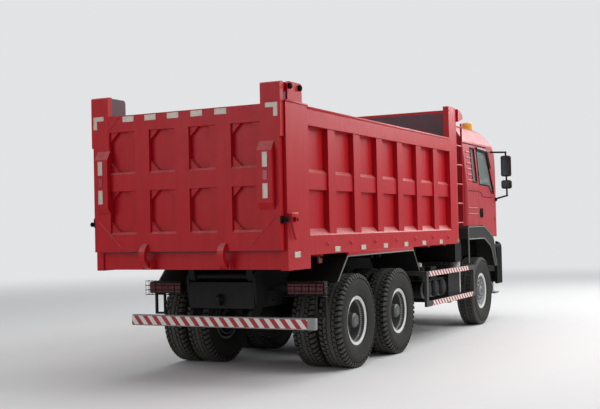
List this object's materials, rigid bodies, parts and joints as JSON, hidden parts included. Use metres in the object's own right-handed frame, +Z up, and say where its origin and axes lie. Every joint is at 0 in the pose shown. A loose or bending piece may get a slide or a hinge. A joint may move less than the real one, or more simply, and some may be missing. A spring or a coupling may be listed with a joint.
{
  "type": "tipper truck",
  "caption": "Rigid three-axle tipping lorry with a ribbed steel load body, top-hung tailgate with claws, tilting cab, steered front axle and twin rear wheels",
  "frame": {"origin": "on the ground under the middle of the bounding box", "axes": "+X forward, +Y to the left, +Z up"},
  "size_m": [8.6998, 2.945, 3.49],
  "materials": {
    "body_paint": "red gloss paint, dusty",
    "chassis_paint": "black chassis paint",
    "trim_plastic": "grained black plastic",
    "mudguard_plastic": "matt black sheet",
    "engine_casting": "painted casting",
    "tank_metal": "plain sheet",
    "lamp_red": "red lens",
    "lamp_clear": "clear lens",
    "bright_wheel": "bright cover",
    "wheel_steel": "grey wheel paint",
    "tyre_rubber": "dusty tread",
    "window_glass": "tinted",
    "seat_fabric": "woven",
    "visor_plastic": "smoked",
    "amber_plastic": "amber dome",
    "hoist_paint": "grey paint",
    "hoist_chrome": "hard chrome"
  },
  "bodies": {
    "chassis": {"frame": "chassis_paint", "cab_posts": "chassis_paint", "front_axle": "chassis_paint", "rear_axles": "chassis_paint", "leaf_springs": "chassis_paint", "engine": "engine_casting", "propshafts": "chassis_paint", "fuel_tank": "tank_metal", "air_tanks": "chassis_paint", "battery_box": "chassis_paint", "side_guards": "chassis_paint", "underrun_bar": "chassis_paint", "tail_lamps": "lamp_red", "rear_mudguards": "mudguard_plastic", "front_fenders": "trim_plastic", "front_bumper": "trim_plastic", "headlamps": "lamp_clear"},
    "cab": {"cab_floor": "trim_plastic", "cab_back": "body_paint", "cab_sides": "body_paint", "cab_roof": "body_paint", "cab_front": "body_paint", "grille": "trim_plastic", "cab_glass": "window_glass", "seats": "seat_fabric", "dashboard": "trim_plastic", "mirrors": "trim_plastic", "sun_visor": "visor_plastic", "beacon": "amber_plastic"},
    "door_l": {"door_left": "body_paint", "door_glass_left": "window_glass"},
    "door_r": {"door_right": "body_paint", "door_glass_right": "window_glass"},
    "knuckle_l": {"knuckle_left": "chassis_paint"},
    "knuckle_r": {"knuckle_right": "chassis_paint"},
    "track_rod": {"tie_rod": "chassis_paint"},
    "wheel_fl": {"front_wheel_left": "bright_wheel", "front_tyre_left": "tyre_rubber"},
    "wheel_fr": {"front_wheel_right": "bright_wheel", "front_tyre_right": "tyre_rubber"},
    "wheel_ml": {"mid_wheels_left": "wheel_steel", "mid_tyres_left": "tyre_rubber"},
    "wheel_mr": {"mid_wheels_right": "wheel_steel", "mid_tyres_right": "tyre_rubber"},
    "wheel_rl": {"rear_wheels_left": "wheel_steel", "rear_tyres_left": "tyre_rubber"},
    "wheel_rr": {"rear_wheels_right": "wheel_steel", "rear_tyres_right": "tyre_rubber"},
    "bed": {"bed_floor": "body_paint", "bed_beams": "body_paint", "bed_side_left": "body_paint", "bed_side_right": "body_paint", "headboard": "body_paint", "ladder": "body_paint"},
    "gate": {"tailgate": "body_paint"},
    "hoist": {"hoist_barrel": "hoist_paint"},
    "stage_1": {"hoist_stage_1": "hoist_chrome"},
    "stage_2": {"hoist_stage_2": "hoist_chrome"},
    "stage_3": {"hoist_stage_3": "hoist_chrome"},
    "stage_4": {"hoist_stage_4": "hoist_chrome"}
  },
  "joints": [
    {"name": "cab_tilt", "type": "hinge", "parent": "chassis", "child": "cab", "pos_m": [4.13, 0, 1.24], "axis": [0, 1, 0], "range_deg": [0, 60]},
    {"name": "door_left_swing", "type": "hinge", "parent": "cab", "child": "door_l", "pos_m": [3.661, 1.213, 2.15], "axis": [0, 0, -1], "range_deg": [0, 70]},
    {"name": "door_right_swing", "type": "hinge", "parent": "cab", "child": "door_r", "pos_m": [3.661, -1.213, 2.15], "axis": [0, 0, 1], "range_deg": [0, 70]},
    {"name": "steer_left", "type": "hinge", "parent": "chassis", "child": "knuckle_l", "pos_m": [2.97, 0.84, 0.562], "axis": [0, 0, 1], "range_deg": [-38, 38]},
    {"name": "steer_right", "type": "hinge", "parent": "chassis", "child": "knuckle_r", "pos_m": [2.97, -0.84, 0.562], "axis": [0, 0, 1], "range_deg": [-38, 38]},
    {"name": "track_rod_pin", "type": "hinge", "parent": "knuckle_l", "child": "track_rod", "pos_m": [2.74, 0.84, 0.424], "axis": [0, 0, 1], "range_deg": [-38, 38]},
    {"name": "spin_front_left", "type": "hinge", "parent": "knuckle_l", "child": "wheel_fl", "pos_m": [2.97, 1.028, 0.562], "axis": [0, 1, 0], "continuous": true},
    {"name": "spin_front_right", "type": "hinge", "parent": "knuckle_r", "child": "wheel_fr", "pos_m": [2.97, -1.028, 0.562], "axis": [0, 1, 0], "continuous": true},
    {"name": "spin_mid_left", "type": "hinge", "parent": "chassis", "child": "wheel_ml", "pos_m": [-0.995, 0.905, 0.562], "axis": [0, 1, 0], "continuous": true},
    {"name": "spin_mid_right", "type": "hinge", "parent": "chassis", "child": "wheel_mr", "pos_m": [-0.995, -0.905, 0.562], "axis": [0, 1, 0], "continuous": true},
    {"name": "spin_rear_left", "type": "hinge", "parent": "chassis", "child": "wheel_rl", "pos_m": [-2.37, 0.905, 0.562], "axis": [0, 1, 0], "continuous": true},
    {"name": "spin_rear_right", "type": "hinge", "parent": "chassis", "child": "wheel_rr", "pos_m": [-2.37, -0.905, 0.562], "axis": [0, 1, 0], "continuous": true},
    {"name": "bed_tip", "type": "hinge", "parent": "chassis", "child": "bed", "pos_m": [-3.46, 0, 1.15], "axis": [0, -1, 0], "range_deg": [0, 50]},
    {"name": "gate_swing", "type": "hinge", "parent": "bed", "child": "gate", "pos_m": [-4.08, 0, 3.18], "axis": [0, 1, 0], "range_deg": [0, 70]},
    {"name": "hoist_lean", "type": "hinge", "parent": "chassis", "child": "hoist", "pos_m": [1.99, 0, 0.95], "axis": [0, -1, 0], "range_deg": [0, 25]},
    {"name": "stage_1_slide", "type": "slide", "parent": "hoist", "child": "stage_1", "axis": [-0.125, 0, 0.9922], "range_m": [0, 1.0962]},
    {"name": "stage_2_slide", "type": "slide", "parent": "stage_1", "child": "stage_2", "axis": [-0.125, 0, 0.9922], "range_m": [0, 1.0962]},
    {"name": "stage_3_slide", "type": "slide", "parent": "stage_2", "child": "stage_3", "axis": [-0.125, 0, 0.9922], "range_m": [0, 1.0962]},
    {"name": "stage_4_slide", "type": "slide", "parent": "stage_3", "child": "stage_4", "axis": [-0.125, 0, 0.9922], "range_m": [0, 1.0962]}
  ],
  "couplings": [
    {"joint": "steer_right", "follows": "steer_left", "ratio": 1},
    {"joint": "track_rod_pin", "follows": "steer_left", "ratio": -1},
    {"joint": "hoist_lean", "follows": "bed_tip", "ratio": 0.5},
    {"joint": "stage_1_slide", "follows": "bed_tip", "m_per_rad": 1.256},
    {"joint": "stage_2_slide", "follows": "bed_tip", "m_per_rad": 1.256},
    {"joint": "stage_3_slide", "follows": "bed_tip", "m_per_rad": 1.256},
    {"joint": "stage_4_slide", "follows": "bed_tip", "m_per_rad": 1.256}
  ]
}
